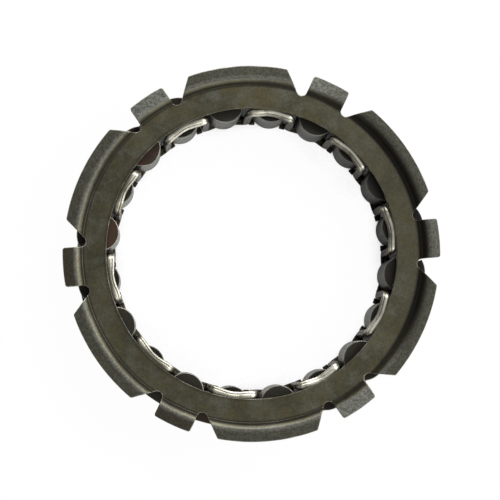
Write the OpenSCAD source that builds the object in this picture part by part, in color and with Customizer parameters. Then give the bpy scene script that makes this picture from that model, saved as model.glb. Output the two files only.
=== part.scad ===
// Starter clutch: a ring of tilting sprags in a windowed cage, under a notched flange plate.
// The axis is Z, the far rim stands on Z = 0, and the flange plate is on top.
// The first drive lug is on +X.

/* [Races] */
// Bore of the outer race that the sprags grip
outer_race_d = 71.425; // [68:0.005:78]
// Radial space between the inner race and the outer race
race_gap = 8.33; // [8.2:0.01:8.5]

/* [Sprags] */
// Number of sprags, even so that the spring wire closes
sprag_count = 20; // [16:2:20]
// Angle from the first lug to the first sprag
sprag_start_a = 5.5; // [0:0.5:17.5]
// Length of a sprag along the axis
sprag_len = 10; // [7:0.5:14]
// Height of a free sprag above the race gap
sprag_lift = 0.1; // [0.05:0.01:0.15]
// Radial gap between a free sprag and the outer race
sprag_tip_gap = 0.3; // [0.2:0.05:0.4]
// Radius of the cam face that grips the inner race
inner_cam_r = 3.76; // [3.6:0.02:3.9]
// Radius of the cam face that grips the outer race
outer_cam_r = 5; // [4.8:0.05:5.2]
// Sideways offset between the centres of the two cam faces
cam_offset = 0.5; // [0.3:0.05:0.7]
// Width of a sprag at its waist
waist_w = 4.8; // [4.4:0.1:5]
// Radius of the hollow flanks at the waist
flank_r = 2.3; // [2.2:0.05:2.5]

/* [Outer cage] */
// Radial distance from the outer race to the drum
drum_inset = 2.7; // [2.5:0.05:2.8]
// Wall of the drum
drum_wall = 1; // [0.8:0.05:1.1]
// Gap between a waist and each side of its window
window_gap = 0.7; // [0.65:0.05:0.8]
// Corner radius of the windows
window_corner_r = 0.4; // [0.2:0.05:0.4]
// Gap between a sprag and each end of its window
sprag_end_gap = 0.2; // [0.1:0.05:0.4]
// Height of the drum wall between the rim and the windows
far_web = 0.6; // [0.5:0.1:1.5]
// Height of the drum wall between the windows and the flange plate
near_web = 1; // [0.6:0.1:1.5]
// Thickness of the far rim
rim_t = 1.2; // [1:0.1:1.8]
// Radial gap between the far rim and the outer race
rim_gap = 0.11; // [0.05:0.01:0.2]
// Inside radius of the bend between the drum and the rim
rim_bend_r = 0.5; // [0.3:0.1:0.8]

/* [Flange plate] */
// Thickness of the flange plate
plate_t = 0.9; // [0.8:0.05:1]
// Overlap of the plate above the outer edge of the wire's crowns
plate_lap = 0.08; // [0:0.02:0.2]
// Radial distance from the outer race to the foot of the step
step_inset = 1.96; // [1.9:0.02:2.2]
// Height of the step from the ring to the tabs
step_h = 0.9; // [0.85:0.05:1.2]
// Slope of the step
step_a = 50; // [40:1:50]
// Inside radius of the two bends of the step
step_bend_r = 0.4; // [0.3:0.05:0.5]
// Reach of the tabs beyond the outer race's bore
tab_reach = 1.95; // [1.6:0.05:4]
// Angle that the tip of a long tab spans
tab_tip_a = 30.8; // [26:0.2:34]
// Corner radius of the tabs
tab_corner_r = 0.5; // [0.3:0.1:0.8]
// Number of drive lugs, with one long tab after each
lug_count = 6; // [4:1:6]
// Width of a drive lug
lug_w = 7.8; // [6:0.1:9]
// Reach of the lugs beyond the tabs
lug_extra = 0.14; // [0:0.02:1]
// Corner radius of the lugs
lug_corner_r = 0.5; // [0.3:0.1:0.8]
// Gap between the bottom of a notch and the drum below it
notch_gap = 0.3; // [0.1:0.05:0.4]
// Radius at the bottom of a notch
notch_r = 1.05; // [0.8:0.05:1.2]

/* [Spring wire] */
// Radial width of the legs
leg_w = 1.25; // [1.1:0.05:1.35]
// Thickness of the legs along the rim
leg_t = 1.1; // [0.9:0.05:1.2]
// Radial width of the crowns, which flare outwards over the sprags
crown_w = 1.65; // [1.5:0.05:1.8]
// Thickness of the crowns along the axis
crown_t = 0.7; // [0.5:0.05:0.8]
// Radius of the wire's rounded edges
wire_edge_r = 0.2; // [0.1:0.05:0.24]
// Radius of the bends between legs and crowns, at the middle of the wire
wire_bend_r = 1.25; // [1.2:0.05:1.4]
// Gap between the wire and the inner race
wire_race_gap = 0.22; // [0.15:0.01:0.3]
// Gap between the wire's crowns and the ends of the sprags
wire_end_gap = 0.3; // [0.25:0.05:0.4]

/* [Hidden] */
$fn = 96;
eps = 0.01;
far_out = 100;

pitch_a = 360 / sprag_count;
outer_race_r = outer_race_d / 2;
inner_race_r = outer_race_r - race_gap;

// Radii of the sprags and of the cage
sprag_tip_r = outer_race_r - sprag_tip_gap;
sprag_root_r = sprag_tip_r - race_gap - sprag_lift;
inner_cam_x = sprag_root_r + inner_cam_r;
outer_cam_x = sqrt(pow(sprag_tip_r - outer_cam_r, 2) - pow(cam_offset, 2));
drum_or = outer_race_r - drum_inset;
drum_ir = drum_or - drum_wall;
waist_r = (drum_or + drum_ir) / 2;
waist_y = cam_offset / 2;
waist_a = asin(waist_y / waist_r);
window_w = waist_w + 2 * window_gap;
rim_r = outer_race_r - rim_gap;

// Radii of the wire and of the flange plate
wire_ir = inner_race_r + wire_race_gap;
leg_r = wire_ir + leg_w / 2;
bow_r = leg_r - wire_bend_r / tan(pitch_a / 2);
bow_x = wire_bend_r / sin(pitch_a / 2);
hole_r = wire_ir + crown_w - plate_lap;
step_r = outer_race_r - step_inset;
notch_bottom_r = drum_or + notch_gap;
tab_r = outer_race_r + tab_reach;
lug_r = tab_r + lug_extra;
lug_a = 360 / lug_count;

// Heights
window_z = rim_t + far_web;
sprag_z = window_z + sprag_end_gap;
window_top_z = sprag_z + sprag_len + sprag_end_gap;
plate_z = window_top_z + near_web;
crown_near_z = sprag_z + sprag_len + wire_end_gap + crown_t / 2;
crown_far_z = sprag_z - wire_end_gap - crown_t / 2;

function sprag_name(i) = str("sprag_", i < 10 ? "0" : "", i);
function polar(r, a) = r * [cos(a), sin(a)];
function arc(c, r, from_a, to_a, steps) =
    [for (i = [0:steps]) c + polar(r, from_a + (to_a - from_a) * i / steps)];
function angle_of(p) = atan2(p[1], p[0]);

// Cross-section of the flange plate: the flat ring, the two bends of the step, and the band of the tabs
module plate_profile() {
    bend_or = step_bend_r + plate_t;
    slope_l = (step_h - (step_bend_r + bend_or) * (1 - cos(step_a))) / sin(step_a);
    run = (step_bend_r + bend_or) * sin(step_a) + slope_l * cos(step_a);
    low_c = [step_r, plate_z + plate_t + step_bend_r];
    high_c = [step_r + run, plate_z + step_h - step_bend_r];
    polygon(concat(
        [[hole_r, plate_z + plate_t]],
        arc(low_c, step_bend_r, -90, -90 + step_a, 3),
        arc(high_c, bend_or, 90 + step_a, 90, 5),
        [[lug_r + 1, plate_z + step_h + plate_t], [lug_r + 1, plate_z + step_h]],
        arc(high_c, step_bend_r, 90, 90 + step_a, 3),
        arc(low_c, bend_or, -90 + step_a, -90, 5),
        [[hole_r, plate_z]]));
}

// Rounds the outer corner of the area on one side of a straight edge.
// The edge lies at edge_d from the axis along its normal edge_a, and the area's rim has the radius rim.
module corner_cut(edge_a, edge_d, rim, round_r, side) {
    c = polar(rim - round_r, edge_a - side * acos((edge_d - round_r) / (rim - round_r)));
    on_edge = c + polar(round_r, edge_a);
    on_rim = c * rim / (rim - round_r);
    beyond = on_edge + on_rim - c + polar(round_r, angle_of(c)) + polar(round_r, edge_a);
    difference() {
        polygon([c, on_edge, beyond, on_rim]);
        translate(c) circle(r = round_r);
    }
}

// One notch beside a lug: straight along the lug, round at the bottom, slanted along the tab
module notch_cut() {
    edge_y = lug_w / 2;
    c_y = edge_y + notch_r;
    c = [sqrt(pow(notch_bottom_r + notch_r, 2) - c_y * c_y), c_y];
    tip = polar(tab_r, (lug_a - tab_tip_a) / 2);
    to_tip = tip - c;
    normal_a = angle_of(to_tip) + acos(notch_r / norm(to_tip));
    touch = c + polar(notch_r, normal_a);
    out = (tip - touch) / norm(tip - touch) * 5;
    translate(c) circle(r = notch_r);
    polygon([[c[0], edge_y], [lug_r + 5, edge_y], tip + out, touch, c]);
    corner_cut(90, edge_y, lug_r, lug_corner_r, 1);
    corner_cut(normal_a + 180, -touch * polar(1, normal_a), tab_r, tab_corner_r, -1);
}

// Outline of the flange plate seen along the axis
module plate_outline() {
    tab_half_a = lug_a / 2 - asin((lug_w / 2 + notch_r) / lug_r);
    difference() {
        circle(r = lug_r, $fn = 240);
        for (i = [0:lug_count - 1]) rotate(i * lug_a) {
            notch_cut();
            mirror([0, 1]) notch_cut();
            rotate(lug_a / 2) difference() {
                polygon([[0, 0], polar(far_out, -tab_half_a), [far_out, 0], polar(far_out, tab_half_a)]);
                circle(r = tab_r, $fn = 240);
            }
        }
    }
}

module flange_plate() {
    color("#4c4a41")
        intersection() {
            rotate_extrude($fn = 240) plate_profile();
            linear_extrude(height = plate_z + far_out) plate_outline();
        }
}

// Half the cross-section of the outer cage: the drum and the rim, joined by a bend
module cage_profile() {
    difference() {
        union() {
            translate([drum_ir, 0]) square([drum_wall, plate_z]);
            translate([drum_ir, 0]) square([rim_r - drum_ir, rim_t]);
            translate([drum_or - eps, rim_t - eps]) difference() {
                square(rim_bend_r + eps);
                translate([rim_bend_r + eps, rim_bend_r + eps]) circle(r = rim_bend_r);
            }
        }
        translate([drum_ir, 0]) difference() {
            translate([-eps, -eps]) square(rim_bend_r + drum_wall / 2 + eps);
            translate([1, 1] * (rim_bend_r + drum_wall / 2)) circle(r = rim_bend_r + drum_wall / 2);
        }
    }
}

module window_outline(w, h, r) {
    translate([-w / 2, r]) square([w, h - 2 * r]);
    translate([r - w / 2, 0]) square([w - 2 * r, h]);
    for (x = [r - w / 2, w / 2 - r], y = [r, h - r]) translate([x, y]) circle(r = r, $fn = 32);
}

module outer_cage() {
    color("#3b332e")
        difference() {
            rotate_extrude($fn = 240) cage_profile();
            for (i = [0:sprag_count - 1]) rotate(sprag_start_a + waist_a + i * pitch_a)
                translate([drum_ir - 1, 0, window_z]) rotate([90, 0, 90]) linear_extrude(height = drum_wall + 2)
                    window_outline(window_w, window_top_z - window_z, window_corner_r);
        }
}

// Outline of a sprag with the ring's axis at the origin: two cam faces and a waist that sits in the window
module sprag_profile() {
    difference() {
        union() {
            intersection() {
                translate([inner_cam_x, 0]) circle(r = inner_cam_r);
                translate([0, -far_out]) square([waist_r + waist_y, 2 * far_out]);
            }
            intersection() {
                translate([outer_cam_x, cam_offset]) circle(r = outer_cam_r, $fn = 128);
                translate([waist_r - waist_y, -far_out]) square([far_out, 2 * far_out]);
            }
        }
        for (side = [-1, 1]) translate([waist_r, waist_y + side * (waist_w / 2 + flank_r)])
            circle(r = flank_r);
    }
}

module sprag(i) {
    color(i % 2 == 0 ? "#4a4643" : "#55514d")
        rotate(sprag_start_a + (i - 1) * pitch_a) translate([0, 0, sprag_z])
            linear_extrude(height = sprag_len) sprag_profile();
}

// One ring of points round the wire: p is the middle of its inner edge at radius wire_ir, w points outwards,
// n points across the wire, and f goes from 0 at a leg to 1 at the top of a crown
function wire_ring(p, w, n, f) =
    let (width = leg_w + (crown_w - leg_w) * f,
         half = (leg_t + (crown_t - leg_t) * f) / 2,
         e = wire_edge_r)
    [for (q = [[0, half - e], [e, half], [width - e, half], [width, half - e],
               [width, e - half], [width - e, -half], [e, -half], [0, e - half]])
        p + w * (q[0] - leg_w / 2) + n * q[1]];

// The rings of one crown and its two bends, anticlockwise, for the sprag at angle a; up is 1 at the near end
function crown_rings(a, z, up) =
    let (h = pitch_a / 2, bend_n = 4, bow_n = 6, top = bend_n + bow_n / 2)
    [for (k = [0:2 * top])
        let (from_leg = min(k, 2 * top - k),
             side = k < top ? -1 : 1,
             f = sin(90 * from_leg / top),
             phi = 90 * from_leg / bend_n,
             on_bend = from_leg < bend_n,
             turn = on_bend ? side * h : -h + 2 * h * (k - bend_n) / bow_n,
             w = [cos(a + turn), sin(a + turn), 0],
             along = [-w[1], w[0], 0],
             axis = [0, 0, 1],
             p = on_bend
                 ? w * leg_r - along * side * wire_bend_r * (1 - cos(phi))
                     + axis * (z - up * wire_bend_r * (1 - sin(phi)))
                 : bow_x * [cos(a), sin(a), 0] + w * bow_r + axis * z,
             t = on_bend ? along * sin(phi) - axis * side * up * cos(phi) : along)
        wire_ring(p, w, cross(w, t), f)];

module spring_wire() {
    rings = [for (i = [0:sprag_count - 1])
        each crown_rings(sprag_start_a + i * pitch_a, i % 2 == 0 ? crown_near_z : crown_far_z, i % 2 == 0 ? 1 : -1)];
    n = len(rings);
    m = len(rings[0]);
    color("#b9b6a6")
        polyhedron(points = [for (ring = rings) each ring],
                   faces = [for (k = [0:n - 1], j = [0:m - 1])
                       let (a = k * m, b = (k + 1) % n * m, j2 = (j + 1) % m)
                       [a + j, a + j2, b + j2, b + j]]);
}

flange_plate();
outer_cage();
spring_wire();
for (i = [1:sprag_count]) sprag(i);
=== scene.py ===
# Starter clutch seen from its flange side: the finishes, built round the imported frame
import bpy
import bmesh
import math
from mathutils import Matrix, Vector


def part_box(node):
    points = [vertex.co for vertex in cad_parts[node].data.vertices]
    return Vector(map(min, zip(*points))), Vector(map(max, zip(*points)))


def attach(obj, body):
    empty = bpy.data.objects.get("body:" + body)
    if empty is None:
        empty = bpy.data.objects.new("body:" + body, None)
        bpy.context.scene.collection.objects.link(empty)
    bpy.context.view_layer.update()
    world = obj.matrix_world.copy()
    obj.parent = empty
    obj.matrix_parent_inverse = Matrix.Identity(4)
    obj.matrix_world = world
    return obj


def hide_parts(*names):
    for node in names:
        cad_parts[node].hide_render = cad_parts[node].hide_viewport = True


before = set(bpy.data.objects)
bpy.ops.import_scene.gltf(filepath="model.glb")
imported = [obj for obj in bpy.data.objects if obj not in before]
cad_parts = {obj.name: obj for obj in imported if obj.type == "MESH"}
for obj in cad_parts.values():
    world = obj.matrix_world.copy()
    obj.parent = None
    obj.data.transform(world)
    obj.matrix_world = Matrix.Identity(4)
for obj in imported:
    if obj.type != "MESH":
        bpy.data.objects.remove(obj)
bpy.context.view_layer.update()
mm = 0.001
print("frame loaded:", len(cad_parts), "nodes")


# Places on the ring

def polar(r, a, z=0.0):
    return Vector((r * math.cos(math.radians(a)), r * math.sin(math.radians(a)), z))


def arc(c, r, fromA, toA, steps):
    return [c + polar(r, fromA + (toA - fromA) * i / steps) for i in range(steps + 1)]


def angleOf(p):
    return math.degrees(math.atan2(p.y, p.x))


def upright(points):  # stands a flat outline up in the XZ plane
    return [Vector((p.x, 0, p.y)) for p in points]


# Mesh helpers

def newPiece(name, bm):
    mesh = bpy.data.meshes.new(name)
    bm.to_mesh(mesh)
    bm.free()
    piece = bpy.data.objects.new(name, mesh)
    bpy.context.scene.collection.objects.link(piece)
    return piece


def chain(bm, points, closed=False):
    verts = [bm.verts.new(p) for p in points]
    edges = [bm.edges.new(pair) for pair in zip(verts, verts[1:] + verts[:1] if closed else verts[1:])]
    return verts, edges


def raised(bm, height):  # extrudes the faces along Z into a closed solid
    made = bmesh.ops.extrude_face_region(bm, geom=bm.faces[:])
    lid = [v for v in made["geom"] if isinstance(v, bmesh.types.BMVert)]
    bmesh.ops.translate(bm, verts=lid, vec=(0, 0, height))
    bmesh.ops.recalc_face_normals(bm, faces=bm.faces[:])


def spunRing(name, section, steps):  # section is a closed outline in the XZ plane
    bm = bmesh.new()
    verts, edges = chain(bm, section, closed=True)
    bmesh.ops.spin(bm, geom=verts + edges, cent=(0, 0, 0), axis=(0, 0, 1), angle=math.tau, steps=steps,
                   use_merge=True)
    bmesh.ops.recalc_face_normals(bm, faces=bm.faces[:])
    return newPiece(name, bm)


def cut(piece, tool, operation):
    stamp = piece.modifiers.new("stamp", "BOOLEAN")
    stamp.operation, stamp.object, stamp.solver = operation, tool, "EXACT"
    stamped = piece.evaluated_get(bpy.context.evaluated_depsgraph_get())
    piece.data = bpy.data.meshes.new_from_object(stamped)
    piece.modifiers.clear()
    bpy.data.objects.remove(tool)


def softenEdges(piece, edge):  # rounds edges of more than "sharp" degrees and marks them for the wear
    bm = bmesh.new()
    bm.from_mesh(piece.data)
    bmesh.ops.remove_doubles(bm, verts=bm.verts[:], dist=edge["merge"])
    flat = math.radians(edge["flat"])
    bmesh.ops.dissolve_limit(bm, angle_limit=flat, verts=bm.verts[:], edges=bm.edges[:])
    wear = bm.loops.layers.float.new("wear")
    sharp = [e for e in bm.edges if e.calc_face_angle(0) > math.radians(edge["sharp"])]
    made = bmesh.ops.bevel(bm, geom=sharp, affect="EDGES", offset=edge["width"], segments=edge["segments"],
                           profile=0.5, material=-1, clamp_overlap=False)
    for face in made["faces"]:
        for corner in face.loops:
            corner[wear] = 1
    bm.to_mesh(piece.data)
    bm.free()


def shadeSmooth(piece, sharpAngle=50):
    for face in piece.data.polygons:
        face.use_smooth = True
    piece.data.set_sharp_from_angle(angle=math.radians(sharpAngle))
    weighted = piece.modifiers.new("weighted", "WEIGHTED_NORMAL")
    weighted.keep_sharp = True


def place(piece, body, slot, material, *nodes):
    piece.data.materials.clear()
    piece.data.materials.append(material)
    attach(piece, body)
    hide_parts(*nodes)


# Shader maths: an expression on sockets adds its Math nodes

class Socket:
    def __init__(self, tree, link):
        self.tree, self.link = tree, link

    def node(self, kind, settings=None, inputs=None, out=0):
        made = self.tree.nodes.new("ShaderNode" + kind)
        for name, value in (settings or {}).items():
            setattr(made, name, value)
        for name, value in (inputs or {}).items():
            if isinstance(value, Socket):
                self.tree.links.new(value.link, made.inputs[name])
            else:
                made.inputs[name].default_value = value
        return Socket(self.tree, made.outputs[out])

    def math(self, operation, *others):
        return self.node("Math", {"operation": operation}, dict(enumerate((self,) + others)))

    def __add__(self, other):
        return self.math("ADD", other)

    def __sub__(self, other):
        return self.math("SUBTRACT", other)

    def __mul__(self, other):
        return self.math("MULTIPLY", other)

    def __rsub__(self, other):
        return self * -1 + other

    __radd__, __rmul__ = __add__, __mul__

    def along(self, direction):
        return self.node("VectorMath", {"operation": "DOT_PRODUCT"}, {0: self, 1: direction}, "Value")

    def step(self, low, high):  # 0 below low, 1 above high, smooth between
        limits = {"From Min": low, "From Max": high}
        return self.node("MapRange", {"interpolation_type": "SMOOTHSTEP"}, {"Value": self, **limits})


class Finish(Socket):
    def __init__(self, name):
        self.material = bpy.data.materials.new(name)
        self.material.use_nodes = True
        self.tree = self.material.node_tree
        self.tree.nodes.clear()

    def axis(self, vector, index):
        return self.node("SeparateXYZ", None, {"Vector": vector}, index)

    def noise(self, vector, patch, detail, roughness):  # patch is the size of a patch in metres
        inputs = {"Vector": vector, "Scale": 1 / patch, "Detail": detail, "Roughness": roughness}
        return self.node("TexNoise", None, inputs)

    def scaled(self, vector, x, y, z):
        return self.node("VectorMath", {"operation": "MULTIPLY"}, {0: vector, 1: (x, y, z)})

    def attribute(self, name):
        return self.node("Attribute", {"attribute_name": name}, out="Fac")

    def mix(self, share, a, b):
        return self.node("Mix", {"data_type": "RGBA"}, {0: share, 6: a, 7: b}, 2)

    def bump(self, height, depth):
        return self.node("Bump", None, {"Height": height, "Distance": depth})

    def surface(self, shader):
        output = self.tree.nodes.new("ShaderNodeOutputMaterial")
        self.tree.links.new(shader.link, output.inputs["Surface"])
        return self.material

    def principled(self, sockets):
        return self.surface(self.node("BsdfPrincipled", None, sockets))


def tone(r, g, b):  # a screen colour, each part from 0 to 255, as the linear colour that a socket takes
    parts = [v / 255 for v in (r, g, b)]
    return tuple(v / 12.92 if v <= 0.04 else ((v + 0.055) / 1.055) ** 2.4 for v in parts) + (1.0,)


# Camera and studio, in the photo's directions: 0 degrees to the right, 90 up, height along the ring's axis

view = {
    "tilt": 4.75,  # degrees that the first lug stands above the photo's horizontal
    "stand": (-19.0, -20.0),  # camera beside the ring's axis, in millimetres
    "distance": 319.2,  # from the ring's flat face
    "aim": (-0.49, 0.55),  # the place on that face it looks at
    "lens": 115.2, "clip": (0.01, 10),
}
studio = {
    "softboxes": [  # direction in the photo, elevation, distance, side, power
        ("rightBox", 14, 40, 0.45, 0.3, 1.5),
        ("topBox", 80, 44, 0.45, 0.24, 1.45),
        ("bottomBox", -62, 48, 0.45, 0.26, 0.6),
    ],
    "lampUp": (0.1, 0.2, 1),
    "ambient": 0.11, "skyGlow": 0.54, "skySide": (-12, 50), "skyFade": (0.1, 0.95),  # glow round one side
    "floorR": 1.0, "coveR": 0.5, "coveSteps": 8, "floorSteps": 48,  # a round floor that curves up at its rim
    "floorGlow": 0.97, "floorShades": (0.1, 0.85),  # painted shade in a narrow gap, and the floor's tone in the open
    "gapReach": 30 * mm, "gap": (0.15, 0.4),  # how open the floor is where its glow fades in
    "shadowR": (45 * mm, 120 * mm),  # metal sees the glow from here outwards
}


def inPhoto(x, y, height):  # x to the right and y up
    return polar(math.hypot(x, y), math.degrees(math.atan2(y, x)) - view["tilt"], height)


def photoSide(direction, elevation=0, distance=1.0):
    out, height = distance * math.cos(math.radians(elevation)), distance * math.sin(math.radians(elevation))
    return polar(out, direction - view["tilt"], height)


def aimed(thing, target, up):
    back = (thing.location - target).normalized()
    side = up.cross(back).normalized()
    thing.rotation_mode = "QUATERNION"
    thing.rotation_quaternion = Matrix((side, back.cross(side), back)).transposed().to_quaternion()
    bpy.context.scene.collection.objects.link(thing)


def makeCamera():
    faceZ = plateLow.z + plate["thick"]
    camera = bpy.data.objects.new("camera", bpy.data.cameras.new("camera"))
    camera.data.lens = view["lens"]
    camera.data.clip_start, camera.data.clip_end = view["clip"]
    camera.location = inPhoto(*[v * mm for v in view["stand"]], faceZ + view["distance"] * mm)
    aimed(camera, inPhoto(*[v * mm for v in view["aim"]], faceZ), inPhoto(0, 1, 0))
    bpy.context.scene.camera = camera


def makeLights():
    for name, direction, elevation, distance, side, power in studio["softboxes"]:
        lamp = bpy.data.objects.new(name, bpy.data.lights.new(name, "AREA"))
        lamp.data.size, lamp.data.energy = side, power
        lamp.location = photoSide(direction, elevation, distance)
        aimed(lamp, Vector(), Vector(studio["lampUp"]))
    world = bpy.data.worlds.new("studio")
    bpy.context.scene.world = world
    world.use_nodes = True
    world.node_tree.nodes.clear()
    maker = Socket(world.node_tree, None)
    toGlow = maker.node("TexCoord", out="Generated").along(photoSide(*studio["skySide"]))
    glow = toGlow.step(*studio["skyFade"]) * studio["skyGlow"] + studio["ambient"]
    light = maker.node("Background", None, {"Color": (1, 1, 1, 1), "Strength": glow})
    output = world.node_tree.nodes.new("ShaderNodeOutputWorld")
    world.node_tree.links.new(light.link, output.inputs["Surface"])
    print("lights:", len(studio["softboxes"]), "softboxes and the sky")


def makeFloor():
    floorR, coveR = studio["floorR"], studio["coveR"]
    cove = arc(Vector((floorR, coveR, 0)), coveR, -90, 0, studio["coveSteps"])
    bm = bmesh.new()
    verts, edges = chain(bm, upright([Vector()] + cove))
    bmesh.ops.spin(bm, geom=verts + edges, cent=(0, 0, 0), axis=(0, 0, 1), angle=math.tau,
                   steps=studio["floorSteps"], use_merge=True)
    bmesh.ops.remove_doubles(bm, verts=bm.verts[:], dist=mm)
    floor = newPiece("floor", bm)
    for face in floor.data.polygons:
        face.use_smooth = True
    f = Finish("paleFloor")
    seen = f.node("LightPath", out="Is Camera Ray") + f.node("LightPath", out="Is Transmission Ray")
    # the floor's colour darkens with occlusion in narrow gaps: painted shade
    unshut = f.node("AmbientOcclusion", {"samples": 8}, {"Distance": studio["gapReach"]}, "AO")
    unshut = unshut.step(*studio["gap"])
    r = fromAxis(f, f.node("TexCoord", out="Object"))
    glossy = f.node("LightPath", out="Is Glossy Ray") * r.step(*studio["shadowR"])
    shades = [(v, v, v, 1) for v in studio["floorShades"]]
    matt = f.node("BsdfDiffuse", None, {"Color": f.mix(unshut, *shades)})
    glow = f.node("Emission", None, {"Color": (1, 1, 1, 1), "Strength": 1.0})
    share = (seen * unshut + glossy).step(0, 1) * studio["floorGlow"]
    floor.data.materials.append(f.surface(f.node("MixShader", None, {0: share, 1: matt, 2: glow})))
    print("floor:", len(floor.data.polygons), "faces")


# Finishes

def fromAxis(f, at):
    x, y = f.axis(at, 0), f.axis(at, 1)
    return (x * x + y * y).math("SQRT")


def roundAxis(f, at):  # in radians
    return f.axis(at, 1).math("ARCTAN2", f.axis(at, 0))


def towards(at, side, reach):  # a mask for one side of the ring, from shares of the reach on that side
    direction, start, full = side
    return (at.along(photoSide(direction)) * (1 / reach)).step(start, full)


def between(value, limits):  # rises over the first two limits and falls over the last two
    return value.step(*limits[:2]) * (1 - value.step(*limits[2:]))


phosphateLook = {
    "olive": tone(81, 78, 61), "dark": tone(64, 62, 47), "ochre": tone(78, 71, 48), "grey": tone(86, 86, 76),
    # the lugs' two tones are painted light and shade: lighter on one side of the ring, darker across from it
    "tab": tone(77, 77, 68), "lug": tone(112, 113, 105), "shadedLug": tone(56, 53, 42),
    # crest is a painted highlight along the step's crest; fold is painted shade in the fold and by the hole,
    # and also the colour of the dark specks
    "crestHighlight": tone(146, 147, 140), "fold": tone(22, 20, 14), "bare": tone(172, 169, 155),
    # patch sizes, and the noise values between which a patch fades in
    "clouds": 7 * mm, "stains": 3 * mm, "speckle": 0.45 * mm, "grain": 0.3 * mm,
    "oliveFrom": (0.38, 0.62), "greyFrom": (0.5, 0.7), "ochreFrom": (0.5, 0.32), "bareFrom": (0.45, 0.65),
    "speckleFrom": (0.6, 0.4), "grainFrom": (0.55, 0.42),
    # distances from the axis where a band fades in, and out again
    "foldShadeR": (33.4 * mm, 33.75 * mm, 34.2 * mm, 34.9 * mm),
    "sideFoldShadeR": (33.2 * mm, 33.8 * mm, 34.9 * mm, 36.8 * mm),
    "crestR": (34.7 * mm, 35.1 * mm, 35.4 * mm, 36.0 * mm),
    "bandR": (34.9 * mm, 35.6 * mm),
    "holeEdgeR": (29.4 * mm, 29.7 * mm), "holeShadeR": (29.3 * mm, 30.1 * mm),
    "lugA": (6.3, 6.6),  # degrees either way from the middle of a lug
    # the photo's direction of a side, and the shares of the ring's radius where it fades in
    # the first side gets painted shade, the second painted shade next to the hole, the third painted light
    # on its lugs
    "paintedShadeSide": (14, 0.55, 0.92), "shadeSide": (190, -0.2, 0.6), "litLugsSide": (30, -0.55, -0.2),
    "stainShare": 0.8, "bandShare": 0.8, "foldShadeShare": 0.72, "sideFoldShadeShare": 0.97, "sideShadeShare": 0.5,
    "crestHighlightShare": 0.28, "holeShare": 0.45, "grainShare": 0.3,
    "rough": 0.30, "metallic": 0.75, "bumpDepth": 0.003 * mm,
}


def phosphatedPlate(name, look):
    f = Finish(name)
    at = f.node("TexCoord", out="Object")
    r = fromAxis(f, at)
    clouds = f.noise(at, look["clouds"], 4, 0.6)
    stains = f.noise(at, look["stains"], 5, 0.65)
    speckle = f.noise(at, look["speckle"], 3, 0.7)
    grain = f.noise(at, look["grain"], 2, 0.6)
    # painted shade over one side of the ring: a darker face, a darker and wider fold, no crest highlight,
    # duller lugs and less wear there
    paintedSideShade = towards(at, look["paintedShadeSide"], plate["stepR"])
    # painted shade in the fold at the foot of the step, darker and wider on the shaded side
    fold = between(r, look["foldShadeR"]) * look["foldShadeShare"] * (1 - paintedSideShade)
    fold = fold + between(r, look["sideFoldShadeR"]) * look["sideFoldShadeShare"] * paintedSideShade
    # painted highlight along the crest of the step, left off on the shaded side
    crestHighlight = between(r, look["crestR"]) * (1 - paintedSideShade)
    band = r.step(*look["bandR"])
    sector = roundAxis(f, at) * (plate["lugs"] / math.tau)
    sector = (sector + 0.5).math("FRACT") - 0.5  # 0 in the middle of a lug
    lug = band * (1 - (sector.math("ABSOLUTE") * (360 / plate["lugs"])).step(*look["lugA"]))
    # painted light and shade: lugs on one side lighter, the rest darker
    bright = towards(at, look["litLugsSide"], plate["lugR"]) * (1 - 0.5 * paintedSideShade)
    colour = f.mix(clouds.step(*look["oliveFrom"]), look["dark"], look["olive"])
    colour = f.mix(stains.step(*look["greyFrom"]) * look["stainShare"], colour, look["grey"])
    colour = f.mix(stains.step(*look["ochreFrom"]) * look["stainShare"], colour, look["ochre"])
    colour = f.mix(paintedSideShade * look["sideShadeShare"], colour, look["dark"])
    colour = f.mix(band * look["bandShare"], colour, look["tab"])
    colour = f.mix(lug, colour, f.mix(bright, look["shadedLug"], look["lug"]))
    colour = f.mix(crestHighlight * look["crestHighlightShare"], colour, look["crestHighlight"])
    speckled = speckle.step(*look["speckleFrom"]) * (0.25 + 0.2 * band)
    # grain specks on the lugs only where they are painted lit
    speckled = speckled + lug * grain.step(*look["grainFrom"]) * look["grainShare"] * bright
    colour = f.mix(speckled, colour, look["fold"])
    # painted shade on the face next to the hole on one side, and in the fold
    holeShade = towards(at, look["shadeSide"], plate["holeR"]) * (1 - r.step(*look["holeShadeR"]))
    colour = f.mix(fold + look["holeShare"] * holeShade, colour, look["fold"])
    worn = f.attribute("wear") * (0.15 + 0.6 * stains.step(*look["bareFrom"])) * (1 - 0.8 * paintedSideShade)
    worn = worn * (0.4 + 0.6 * r.step(*look["holeEdgeR"]))
    colour = f.mix(worn, colour, look["bare"])
    return f.principled({
        "Base Color": colour, "Metallic": look["metallic"],
        "Roughness": look["rough"] + 0.1 * stains + 0.1 * lug - 0.08 * worn,
        "Normal": f.bump(grain * (0.4 + band + 1.5 * lug) + clouds, look["bumpDepth"]),
    })


cageLook = {
    "olive": tone(60, 56, 48), "brown": tone(64, 50, 38), "bare": tone(150, 146, 136),
    "stains": 5 * mm, "grain": 0.3 * mm, "brownFrom": (0.4, 0.7), "bareFrom": (0.4, 0.6),
    "rough": 0.45, "metallic": 0.7, "bumpDepth": 0.005 * mm,
}


def phosphatedCage(name, look):
    f = Finish(name)
    at = f.node("TexCoord", out="Object")
    stains = f.noise(at, look["stains"], 4, 0.6)
    grain = f.noise(at, look["grain"], 2, 0.6)
    worn = f.attribute("wear") * (0.2 + 0.6 * stains.step(*look["bareFrom"]))
    colour = f.mix(stains.step(*look["brownFrom"]), look["olive"], look["brown"])
    return f.principled({
        "Base Color": f.mix(worn, colour, look["bare"]), "Metallic": look["metallic"],
        "Roughness": look["rough"] + 0.1 * stains, "Normal": f.bump(grain, look["bumpDepth"]),
    })


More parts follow.
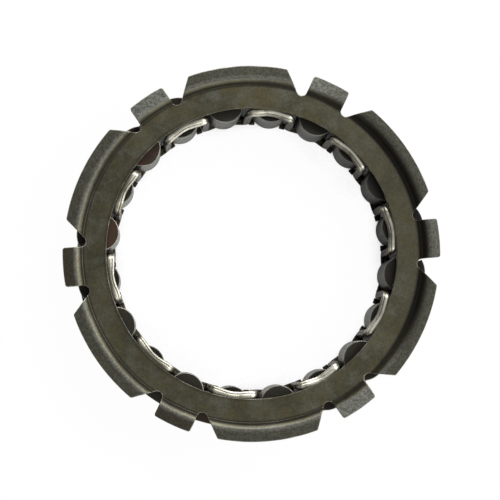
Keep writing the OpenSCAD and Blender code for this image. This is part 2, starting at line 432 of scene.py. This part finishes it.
spragLook = {
    # the third face tone, and the last end tone below, are painted shade for one side of the ring
    "face": tone(128, 129, 120), "smear": tone(96, 96, 88), "sideShadeFace": tone(32, 31, 26),
    "edge": tone(168, 165, 154), "tip": tone(36, 31, 25), "tipR": (30 * mm, 32.5 * mm),
    "endGrey": tone(38, 37, 30), "endBrown": tone(62, 44, 33), "sideShadeEnd": tone(27, 26, 22),
    "lines": (12 * mm, 1.1 * mm),  # length and height of the grinding lines
    "smears": 2.5 * mm, "grain": 0.3 * mm,
    "smearFrom": (0.35, 0.65), "lineFrom": (0.55, 0.4), "grainFrom": (0.6, 0.4), "edgeFrom": (0.3, 0.6),
    # the first side gets painted shade
    "paintedShadeSide": (22, 0.55, 1.0), "brownSide": (160, 0.58, 1.35), "brownFrom": (0.6, 1.3), "reach": 28 * mm,
    "sideShadeShare": 0.8, "lineShare": 0.6, "grainShare": 0.4,
    "rough": 0.34, "metallic": 0.75, "bumpDepth": 0.003 * mm,
}
shadedLook = {  # under a crown: a copy with painted shade on the ends and edges
    **spragLook, "edge": tone(110, 109, 98),
    "endGrey": tone(16, 15, 10), "endBrown": tone(24, 19, 13), "sideShadeEnd": tone(12, 11, 8),
}


def spragSteel(name, look):
    f = Finish(name)
    at = f.node("TexCoord", out="Object")
    up = f.axis(f.node("TexCoord", out="Normal"), 2)
    end = (up * up).step(0.5, 0.95)
    long, high = look["lines"]
    lines = f.noise(f.scaled(at, high / long, high / long, 1), high, 5, 0.7)
    smears = f.noise(at, look["smears"], 4, 0.6)
    grain = f.noise(at, look["grain"], 3, 0.6)
    # painted shade over the sprags on one side of the ring
    paintedSideShade = towards(at, look["paintedShadeSide"], look["reach"])
    face = f.mix(smears.step(*look["smearFrom"]), look["face"], look["smear"])
    face = f.mix(lines.step(*look["lineFrom"]) * look["lineShare"], face, look["smear"])
    brown = (towards(at, look["brownSide"], look["reach"]) * 1.4 + smears).step(*look["brownFrom"])
    ends = f.mix(brown, look["endGrey"], look["endBrown"])
    ends = f.mix(grain.step(*look["grainFrom"]) * look["grainShare"], ends, look["tip"])
    ends = f.mix(fromAxis(f, at).step(*look["tipR"]), ends, look["tip"])
    worn = f.attribute("wear")
    # faces and ends darker on that side, and fewer light edges there: painted shade
    colour = f.mix(paintedSideShade * look["sideShadeShare"], f.mix(end, face, ends), f.mix(end, look["sideShadeFace"], look["sideShadeEnd"]))
    colour = f.mix(worn * smears.step(*look["edgeFrom"]) * (0.7 - 0.5 * paintedSideShade), colour, look["edge"])
    return f.principled({
        "Base Color": colour, "Metallic": look["metallic"],
        "Roughness": look["rough"] + 0.1 * lines + 0.14 * end + 0.1 * grain - 0.1 * worn,
        "Normal": f.bump(lines * (1 - end) + grain * end, look["bumpDepth"]),
    })


wireLook = {
    "bright": tone(212, 209, 194), "dull": tone(138, 134, 114),
    # the legs' tone and the last tone are painted shade: on the legs, in the groove, on the far crowns and
    # feet, and on the shaded sides
    "leg": tone(84, 80, 70), "paintedShadeTone": tone(50, 46, 35),
    "patches": 2.5 * mm, "dullFrom": (0.45, 0.75), "outerFrom": (0.18, 0.38),
    # the first side gets painted shade on the legs, the other two painted shade on the crowns
    "paintedShadeSide": (8, 0.8, 1.05), "farSide": (190, -0.1, 0.6), "nearSide": (30, 0.1, 0.8),
    "grooveShadeShare": 0.85, "farCrownShadeShare": 0.8, "sideShadeShare": 0.4, "nearSideShare": 0.75,
    "rough": 0.28, "metallic": 0.95,
}


def springSteel(name, look):  # "crown" is 0 in a leg, 1 on a near crown and -1 on a far one
    f = Finish(name)
    at = f.node("TexCoord", out="Object")
    patches = f.noise(at, look["patches"], 3, 0.6)
    groove, crown, outer = f.attribute("groove"), f.attribute("crown"), f.attribute("outer")
    outer = outer.step(*look["outerFrom"])
    # painted shade on the far side falls less on a crown's shoulders than on its middle
    middle = 0.65 + 0.35 * crown.step(0.8, 1)
    colour = f.mix(patches.step(*look["dullFrom"]), look["bright"], look["dull"])
    # legs, crown undersides and far crowns darker: painted shade
    colour = f.mix(crown.step(0.1, 0.75), look["leg"], colour)
    # painted shade over one side, on the legs
    paintedSideShade = towards(at, look["paintedShadeSide"], wire["innerR"]) * (1 - crown.step(0, 0.5))
    # painted shade on the crowns: their outer part on the far side, their inner part on the near side
    shaded = towards(at, look["farSide"], wire["innerR"]) * (0.55 + 0.4 * outer) * middle
    shaded = shaded + towards(at, look["nearSide"], wire["innerR"]) * (1 - outer) * look["nearSideShare"]
    # painted shade in the groove, on the far crowns and feet, and on the shaded sides
    wireShade = groove * look["grooveShadeShare"] + crown.step(-0.1, -0.6) * look["farCrownShadeShare"]
    wireShade = wireShade + look["sideShadeShare"] * paintedSideShade + shaded * crown.step(0, 1)
    colour = f.mix(wireShade, colour, look["paintedShadeTone"])
    return f.principled({
        "Base Color": colour, "Metallic": look["metallic"],
        "Roughness": look["rough"] + 0.06 * patches + 0.15 * wireShade + 0.12 * (1 - crown.step(0, 1)),
    })


# Flange plate: a spun section, stamped to the outline of the tabs and lugs

plateLow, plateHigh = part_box("flange_plate")
plate = {
    "holeR": 29.17 * mm, "thick": 0.9 * mm,
    "stepR": 33.7525 * mm, "stepA": 50, "bendR": 0.4 * mm, "crestR": 2.0 * mm,
    "lugs": 6, "lugR": plateHigh.x, "lugW": 7.8 * mm, "lugExtra": 0.14 * mm,  # lugs reach past the tabs
    "tabTipA": 30.8, "cornerR": 0.5 * mm, "notchR": 1.05 * mm, "notchBottomR": 33.3125 * mm,
    "steps": 240, "weld": 0.001 * mm, "spare": 1.0 * mm,  # spare: cut off by the stamp
    "edge": {"width": 0.13 * mm, "segments": 2, "sharp": 35, "flat": 0.2, "merge": 0.004 * mm},
}


def plateSection():
    thick, bendR, crestR, a = plate["thick"], plate["bendR"], plate["crestR"], plate["stepA"]
    stepH, tilt = plateHigh.z - plateLow.z - thick, math.radians(a)
    slope = (stepH - (bendR + crestR) * (1 - math.cos(tilt))) / math.sin(tilt)
    run = (bendR + crestR) * math.sin(tilt) + slope * math.cos(tilt)
    low = Vector((plate["stepR"], plateLow.z + thick + bendR, 0))
    high = Vector((plate["stepR"] + run, plateHigh.z - crestR, 0))
    hole, end = plate["holeR"], plate["lugR"] + plate["spare"]
    points = [Vector((hole, plateLow.z + thick, 0))]
    points += arc(low, bendR, -90, a - 90, 5) + arc(high, crestR, 90 + a, 90, 10)
    points += [Vector((end, plateHigh.z, 0)), Vector((end, plateHigh.z - thick, 0))]
    points += arc(high, crestR - thick, 90, 90 + a, 6) + arc(low, bendR + thick, a - 90, -90, 8)
    points += [Vector((hole, plateLow.z, 0))]
    return upright(points)


def halfSector():  # from the middle of a lug, round its notch, to the middle of a tab
    edgeY, r, corner = plate["lugW"] / 2, plate["notchR"], plate["cornerR"]
    lugR, tabR, halfA = plate["lugR"], plate["lugR"] - plate["lugExtra"], 180 / plate["lugs"]
    lugC = Vector((math.sqrt((lugR - corner) ** 2 - (edgeY - corner) ** 2), edgeY - corner, 0))
    notchC = Vector((math.sqrt((plate["notchBottomR"] + r) ** 2 - (edgeY + r) ** 2), edgeY + r, 0))
    toTip = polar(tabR, halfA - plate["tabTipA"] / 2) - notchC
    slantA = angleOf(toTip) + math.degrees(math.acos(r / toTip.length))
    slantD = -(notchC + polar(r, slantA)).dot(polar(1, slantA))
    tabA = slantA - 180 + math.degrees(math.acos((slantD - corner) / (tabR - corner)))
    points = arc(Vector(), lugR, 0, angleOf(lugC), 4) + arc(lugC, corner, angleOf(lugC), 90, 5)[1:]
    points += arc(notchC, r, 270, slantA, 12)
    points += arc(polar(tabR - corner, tabA), corner, slantA - 180, tabA, 5)
    return points + arc(Vector(), tabR, tabA, halfA, 10)[1:]


def outlineStamp():
    bm = bmesh.new()
    verts, edges = chain(bm, halfSector())
    bmesh.ops.mirror(bm, geom=verts + edges, axis="Y", merge_dist=plate["weld"])
    copies = plate["lugs"] - 1
    bmesh.ops.spin(bm, geom=bm.verts[:] + bm.edges[:], cent=(0, 0, 0), axis=(0, 0, 1),
                   angle=math.tau * copies / plate["lugs"], steps=copies, use_duplicate=True)
    bmesh.ops.remove_doubles(bm, verts=bm.verts[:], dist=plate["weld"])
    bmesh.ops.contextual_create(bm, geom=bm.edges[:])
    raised(bm, 2 * plateHigh.z)
    return newPiece("outlineStamp", bm)


def makeFlange():
    flange = spunRing("flangePlate", plateSection(), plate["steps"])
    cut(flange, outlineStamp(), "INTERSECT")
    softenEdges(flange, plate["edge"])
    shadeSmooth(flange)
    finish = phosphatedPlate("phosphatedFlange", phosphateLook)
    place(flange, "cage", "flange_steel", finish, "flange_plate")
    print("flange plate:", len(flange.data.polygons), "faces")


# Outer cage: a spun drum and rim, with a window stamped for each sprag

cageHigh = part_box("outer_cage")[1]
spragLow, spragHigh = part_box("sprag_01")
cage = {
    "outerR": 33.0125 * mm, "wall": 1.0 * mm, "rimR": cageHigh.x, "rimT": 1.2 * mm, "bendR": 0.5 * mm,
    "windowW": 6.2 * mm, "endGap": 0.2 * mm, "cornerR": 0.4 * mm, "steps": 240,
    "firstSpragA": 5.5, "waistA": 0.4406,  # a sprag's waist lies this far past its middle
    "edge": {"width": 0.12 * mm, "segments": 2, "sharp": 35, "flat": 0.2, "merge": 0.004 * mm},
}


def cageSection():
    outerR, innerR, bendR, rimT = cage["outerR"], cage["outerR"] - cage["wall"], cage["bendR"], cage["rimT"]
    heelR = bendR + cage["wall"] / 2
    points = [Vector((innerR, cageHigh.z, 0)), Vector((outerR, cageHigh.z, 0))]
    points += arc(Vector((outerR + bendR, rimT + bendR, 0)), bendR, 180, 270, 6)
    points += [Vector((cage["rimR"], rimT, 0)), Vector((cage["rimR"], 0, 0))]
    points += arc(Vector((innerR + heelR, heelR, 0)), heelR, 270, 180, 8)
    return upright(points)


def windowStamp(count):
    bm = bmesh.new()
    low, high = spragLow.z - cage["endGap"], spragHigh.z + cage["endGap"]
    corners = [(-1, low), (1, low), (1, high), (-1, high)]
    bm.faces.new([bm.verts.new((side * cage["windowW"] / 2, z, 0)) for side, z in corners])
    bmesh.ops.bevel(bm, geom=bm.verts[:], affect="VERTICES", offset=cage["cornerR"], segments=5, profile=0.5,
                    material=-1)
    raised(bm, 3 * cage["wall"])
    stand = Matrix(((0, 0, 1), (1, 0, 0), (0, 1, 0))).to_4x4()  # the outline's X along the rim, its Y up
    stand.translation = Vector((cage["outerR"] - 2 * cage["wall"], 0, 0))
    turned = Matrix.Rotation(math.radians(cage["firstSpragA"] + cage["waistA"]), 4, "Z")
    bmesh.ops.transform(bm, matrix=turned @ stand, verts=bm.verts[:])
    bmesh.ops.spin(bm, geom=bm.verts[:] + bm.edges[:] + bm.faces[:], cent=(0, 0, 0), axis=(0, 0, 1),
                   angle=math.tau * (count - 1) / count, steps=count - 1, use_duplicate=True)
    bmesh.ops.recalc_face_normals(bm, faces=bm.faces[:])
    return newPiece("windowStamp", bm)


def makeCage(count):
    drum = spunRing("outerCage", cageSection(), cage["steps"])
    cut(drum, windowStamp(count), "DIFFERENCE")
    softenEdges(drum, cage["edge"])
    shadeSmooth(drum)
    place(drum, "cage", "cage_steel", phosphatedCage("phosphatedCage", cageLook), "outer_cage")
    print("outer cage:", len(drum.data.polygons), "faces")


# Sprags: hardened cams with ground working faces and tumbled edges

spragEdge = {"width": 0.17 * mm, "segments": 2, "sharp": 30, "flat": 0.5, "merge": 0.001 * mm}


def makeSprags(names):
    # every other sprag lies under a crown and takes the copy with painted shade
    finishes = [spragSteel("shadedSprag", shadedLook), spragSteel("hardenedSprag", spragLook)]
    for finish, name in zip(finishes * len(names), names):
        cam = bpy.data.objects.new(name.replace("sprag_", "camSprag"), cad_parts[name].data.copy())
        bpy.context.scene.collection.objects.link(cam)
        softenEdges(cam, spragEdge)
        shadeSmooth(cam)
        place(cam, name, "sprag_steel", finish, name)
    print("sprags:", len(names))


# Spring wire: a bar in each gap, flattened and flared where it crowns over the sprags

wireLow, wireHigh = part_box("spring_wire")
wire = {
    "innerR": 27.6025 * mm, "legW": 1.25 * mm, "crownT": 0.7 * mm, "bendR": 1.0 * mm, "firstA": 5.5,
    "bendSteps": 6, "bowSteps": 8, "bulge": 0.3 * mm,
    "footL": 1.2 * mm, "footW": 1.3 * mm, "footT": 0.6 * mm, "footEdge": 0.12 * mm, "footStart": 0.6 * mm,
    # half sections in millimetres: how far out from the inner edge, and half the thickness there
    "leg": [(0, 0.35), (0.03, 0.6), (0.14, 0.72), (0.3, 0.71), (0.44, 0.7), (0.58, 0.69),
            (0.72, 0.68), (0.86, 0.67), (1, 0.66), (1.12, 0.62), (1.22, 0.48), (1.25, 0.25)],
    "crown": [(0, 0.02), (0.06, 0.08), (0.2, 0.16), (0.34, 0.21), (0.44, 0.2), (0.5, 0.17),
              (0.58, 0.25), (0.78, 0.33), (1.02, 0.37), (1.3, 0.36), (1.62, 0.29), (2.05, 0.1)],
    "groove": 5,  # the point of the crown's section at the bottom of its groove
}


def wireSection(flare):  # outward from the inner edge, and across the wire
    side = []
    for leg, crown in zip(wire["leg"], wire["crown"]):
        outward, half = [(v + (w - v) * flare) * mm for v, w in zip(leg, crown)]
        side.append((outward, half))
    return side + [(outward, -half) for outward, half in reversed(side)]


def wireFrames(count):  # places along the wire, each with its directions, its flare, and 1 near or -1 far
    halfPitch, bendR, steps = 180 / count, wire["bendR"], wire["bendSteps"]
    legR = wire["innerR"] + wire["legW"] / 2
    bowR = legR - bendR / math.tan(math.radians(halfPitch))
    bowX = bendR / math.sin(math.radians(halfPitch))
    top = steps + wire["bowSteps"] // 2
    for i in range(count):
        near = 1 if i % 2 == 0 else -1
        z = wireHigh.z - wire["crownT"] / 2 if near > 0 else wireLow.z + wire["crownT"] / 2
        a = wire["firstA"] + 360 / count * i
        for k in range(2 * top + 1):
            fromLeg, side = min(k, 2 * top - k), -1 if k < top else 1
            flare = math.sin(math.radians(90 * fromLeg / top))
            if fromLeg < steps:
                phi = math.radians(90 * fromLeg / steps)
                out, along = polar(1, a + side * halfPitch), polar(1, a + side * halfPitch + 90)
                p = out * legR - along * side * bendR * (1 - math.cos(phi))
                p.z = z - near * bendR * (1 - math.sin(phi))
                ahead = along * math.sin(phi) - Vector((0, 0, side * near * math.cos(phi)))
            else:
                turn = halfPitch * (2 * (k - steps) / wire["bowSteps"] - 1)
                out, ahead = polar(1, a + turn), polar(1, a + turn + 90)
                bulge = wire["bulge"] * math.cos(math.radians(90 * turn / halfPitch)) ** 2
                p = polar(bowX + bulge, a) + out * bowR
                p.z = z
            yield p, out, out.cross(ahead), flare, near


def addFeet(bm, count):  # at the far end of each leg, under the sprag that has a near crown; dark blocks in a shaded gap
    halfPitch, legR = 180 / count, wire["innerR"] + wire["footW"] / 2
    for i in range(count):
        side = -1 if i % 2 == 0 else 1
        a = wire["firstA"] + halfPitch * (2 * i + 1)
        reach = math.degrees((wire["footStart"] + wire["footL"] / 2) / legR)
        turned = Matrix.Rotation(math.radians(a + side * reach), 4, "Z")
        middle = Matrix.Translation((legR, 0, wireLow.z + wire["crownT"] / 2))
        size = Matrix.Diagonal((wire["footW"], wire["footL"], wire["footT"], 1))
        foot = bmesh.ops.create_cube(bm, size=1, matrix=turned @ middle @ size)
        edges = list({edge for v in foot["verts"] for edge in v.link_edges})
        bmesh.ops.bevel(bm, geom=edges, affect="EDGES", offset=wire["footEdge"], segments=2, profile=0.5,
                        material=-1)


def makeWire(count):
    bm = bmesh.new()
    # groove, crown and outer tell the finish where it paints shade
    groove, crown, outer = [bm.verts.layers.float.new(name) for name in ("groove", "crown", "outer")]
    addFeet(bm, count)
    # the feet take the far crowns' painted shade
    for v in bm.verts:
        v[crown] = -1
    ring = None
    for p, out, across, flare, near in wireFrames(count):
        section = wireSection(flare)
        width = max(outward for outward, half in section)
        points = [p + out * (outward - wire["legW"] / 2) + across * half for outward, half in section]
        if ring is None:
            ring, edges = chain(bm, points, closed=True)
            first = list(edges)
        else:
            grown = bmesh.ops.extrude_edge_only(bm, edges=edges)["geom"]
            moved = {v.co.to_tuple(): v for v in grown if isinstance(v, bmesh.types.BMVert)}
            ring = [moved[v.co.to_tuple()] for v in ring]
            edges = [e for e in grown if isinstance(e, bmesh.types.BMEdge)]
            edges = [e for e in edges if all(v in ring for v in e.verts)]
            for v, point in zip(ring, points):
                v.co = point
        for v, (outward, half) in zip(ring, section):
            v[groove] = flare if outward == section[wire["groove"]][0] else 0
            v[crown] = -flare if near < 0 else flare if half > 0 else 0  # 0 where a crown faces its sprag
            v[outer] = flare * outward / width
    bmesh.ops.bridge_loops(bm, edges=edges + first)
    bmesh.ops.recalc_face_normals(bm, faces=bm.faces[:])
    spring = newPiece("springWire", bm)
    for face in spring.data.polygons:
        face.use_smooth = True
    rounded = spring.modifiers.new("rounded", "SUBSURF")
    rounded.levels = rounded.render_levels = 1
    place(spring, "spring", "spring_steel", springSteel("drawnWire", wireLook), "spring_wire")
    print("spring wire:", len(spring.data.polygons), "faces")


spragNames = sorted(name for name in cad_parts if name.startswith("sprag_"))
makeCamera()
makeLights()
makeFloor()
makeFlange()
makeCage(len(spragNames))
makeSprags(spragNames)
makeWire(len(spragNames))

bpy.context.scene.view_settings.view_transform = "Standard"
